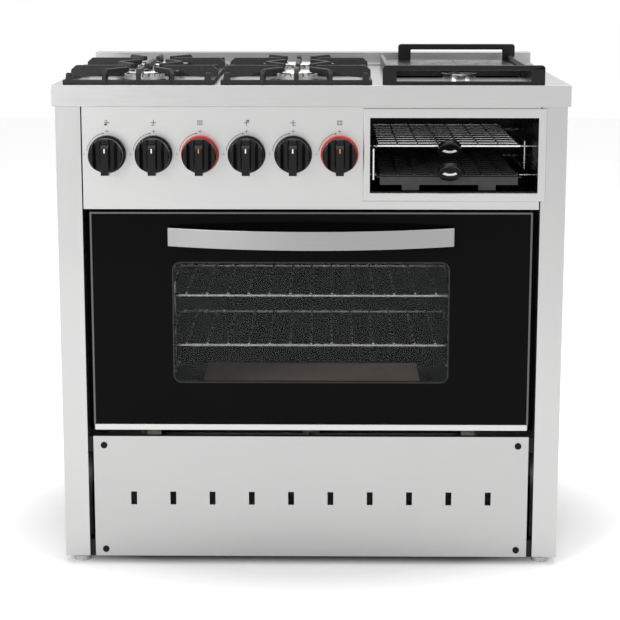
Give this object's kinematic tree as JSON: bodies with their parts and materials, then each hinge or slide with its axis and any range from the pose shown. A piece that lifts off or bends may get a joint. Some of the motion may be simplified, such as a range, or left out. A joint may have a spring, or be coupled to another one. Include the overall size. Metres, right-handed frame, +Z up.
{
  "type": "range cooker",
  "caption": "Free-standing gas range: burners under cast-iron grates, lift-off griddle, open grill compartment, round knobs, drop-down glass oven door, vented lower panel and levelling feet",
  "frame": {"origin": "on the floor, under the middle of the overall box, which includes knobs and door handle", "axes": "+X to the right as the user sees the front, +Y to the back, +Z up; the front looks along -Y"},
  "size_m": [0.9, 0.644, 0.916],
  "materials": {
    "stainless": "fine brushed grain, low sheen",
    "galvanised": "zinc-coated sheet, satin",
    "black_enamel": "vitreous enamel, gloss",
    "grey_enamel": "vitreous enamel with fine specks, semi-gloss",
    "cast_iron": "matt black enamel over sand-cast grain",
    "chrome_wire": "bright plated wire",
    "burner_alloy": "cast, satin",
    "polished_steel": "polished",
    "brass": "machined",
    "black_plastic": "gloss",
    "red_plastic": "gloss",
    "matt_black_plastic": "satin",
    "door_glass": "tinted tempered glass, gloss",
    "clear_glass": "clear tempered glass, gloss",
    "seal": "woven glass-fibre cord",
    "mineral_wool": "matt fibre board",
    "refractory": "fired, matt, speckled"
  },
  "bodies": {
    "cooker_body": {"side_panel_left": "stainless", "side_panel_right": "stainless", "hob_rim": "stainless", "hob_sheet": "stainless", "backguard": "stainless", "control_panel": "stainless", "compartment_bezel": "stainless", "lower_panel": "stainless", "frame_rails": "galvanised", "levelling_feet": "galvanised", "back_panel": "galvanised", "gas_manifold": "galvanised", "oven_burner": "galvanised", "griddle_burner": "galvanised", "door_hinge_brackets": "galvanised", "compartment_liner": "black_enamel", "burner_cups": "black_enamel", "oven_liner": "grey_enamel", "oven_floor": "grey_enamel", "oven_front_frame": "grey_enamel", "compartment_rails": "chrome_wire", "oven_side_rails": "chrome_wire", "burner_heads": "burner_alloy", "burner_caps": "polished_steel", "gas_valves": "brass", "gas_inlet": "brass", "supply_pipes": "brass", "knob_rings_black": "black_plastic", "knob_rings_red": "red_plastic", "panel_fasteners": "matt_black_plastic", "door_seal": "seal", "oven_insulation": "mineral_wool"},
    "oven_door": {"door_frame": "stainless", "door_outer_glass": "door_glass", "door_inner_glass": "clear_glass", "door_bottom_trim": "stainless", "door_handle": "stainless", "door_handle_posts": "stainless", "door_hinge_arms": "galvanised"},
    "oven_rack_upper": {"oven_rack_upper": "chrome_wire"},
    "oven_rack_lower": {"oven_rack_lower": "chrome_wire"},
    "baking_stone": {"baking_stone": "refractory"},
    "grill_rack": {"grill_rack": "chrome_wire", "grill_rack_pull": "black_plastic"},
    "drip_tray": {"drip_tray": "black_enamel", "drip_tray_pull": "black_plastic"},
    "tray_grid": {"tray_grid": "black_enamel"},
    "griddle": {"griddle_frame": "black_enamel", "griddle_handles": "black_enamel"},
    "griddle_plate_left": {"griddle_plate_left": "black_enamel"},
    "griddle_plate_right": {"griddle_plate_right": "black_enamel"},
    "grease_cup": {"grease_cup": "polished_steel"},
    "grate_left": {"grate_left": "cast_iron"},
    "grate_middle": {"grate_middle": "cast_iron"},
    "knob_1": {"knob_1": "black_plastic"},
    "knob_2": {"knob_2": "black_plastic"},
    "knob_3": {"knob_3": "black_plastic"},
    "knob_4": {"knob_4": "black_plastic"},
    "knob_5": {"knob_5": "black_plastic"},
    "knob_6": {"knob_6": "black_plastic"}
  },
  "joints": [
    {"name": "oven_door_hinge", "type": "hinge", "parent": "cooker_body", "child": "oven_door", "pos_m": [0, -0.245, 0.265], "axis": [1, 0, 0], "range_deg": [0, 90], "stiffness_Nm_per_rad": 6, "springref_deg": -17.19},
    {"name": "oven_rack_upper_slide", "type": "slide", "parent": "cooker_body", "child": "oven_rack_upper", "axis": [0, -1, 0], "range_m": [0, 0.01]},
    {"name": "oven_rack_lower_slide", "type": "slide", "parent": "cooker_body", "child": "oven_rack_lower", "axis": [0, -1, 0], "range_m": [0, 0.01]},
    {"name": "baking_stone_lift", "type": "slide", "parent": "cooker_body", "child": "baking_stone", "axis": [0, 0, 1], "range_m": [0, 0.1]},
    {"name": "grill_rack_slide", "type": "slide", "parent": "cooker_body", "child": "grill_rack", "axis": [0, -1, 0], "range_m": [0, 0.24]},
    {"name": "drip_tray_slide", "type": "slide", "parent": "cooker_body", "child": "drip_tray", "axis": [0, -1, 0], "range_m": [0, 0.24]},
    {"name": "tray_grid_lift", "type": "slide", "parent": "drip_tray", "child": "tray_grid", "axis": [0, 0, 1], "range_m": [0, 0.02]},
    {"name": "griddle_lift", "type": "slide", "parent": "cooker_body", "child": "griddle", "axis": [0, 0, 1], "range_m": [0, 0.12]},
    {"name": "griddle_plate_left_lift", "type": "slide", "parent": "griddle", "child": "griddle_plate_left", "axis": [0, 0, 1], "range_m": [0, 0.08]},
    {"name": "griddle_plate_right_lift", "type": "slide", "parent": "griddle", "child": "griddle_plate_right", "axis": [0, 0, 1], "range_m": [0, 0.08]},
    {"name": "grease_cup_lift", "type": "slide", "parent": "cooker_body", "child": "grease_cup", "axis": [0, 0, 1], "range_m": [0, 0.08]},
    {"name": "grate_left_lift", "type": "slide", "parent": "cooker_body", "child": "grate_left", "axis": [0, 0, 1], "range_m": [0, 0.12]},
    {"name": "grate_middle_lift", "type": "slide", "parent": "cooker_body", "child": "grate_middle", "axis": [0, 0, 1], "range_m": [0, 0.12]},
    {"name": "knob_1_turn", "type": "hinge", "parent": "cooker_body", "child": "knob_1", "pos_m": [-0.355, -0.283, 0.75], "axis": [0, -1, 0], "range_deg": [0, 180]},
    {"name": "knob_2_turn", "type": "hinge", "parent": "cooker_body", "child": "knob_2", "pos_m": [-0.274, -0.283, 0.75], "axis": [0, -1, 0], "range_deg": [0, 180]},
    {"name": "knob_3_turn", "type": "hinge", "parent": "cooker_body", "child": "knob_3", "pos_m": [-0.193, -0.283, 0.75], "axis": [0, -1, 0], "range_deg": [0, 180]},
    {"name": "knob_4_turn", "type": "hinge", "parent": "cooker_body", "child": "knob_4", "pos_m": [-0.112, -0.283, 0.75], "axis": [0, -1, 0], "range_deg": [0, 180]},
    {"name": "knob_5_turn", "type": "hinge", "parent": "cooker_body", "child": "knob_5", "pos_m": [-0.031, -0.283, 0.75], "axis": [0, -1, 0], "range_deg": [0, 180]},
    {"name": "knob_6_turn", "type": "hinge", "parent": "cooker_body", "child": "knob_6", "pos_m": [0.05, -0.283, 0.75], "axis": [0, -1, 0], "range_deg": [0, 180]}
  ]
}
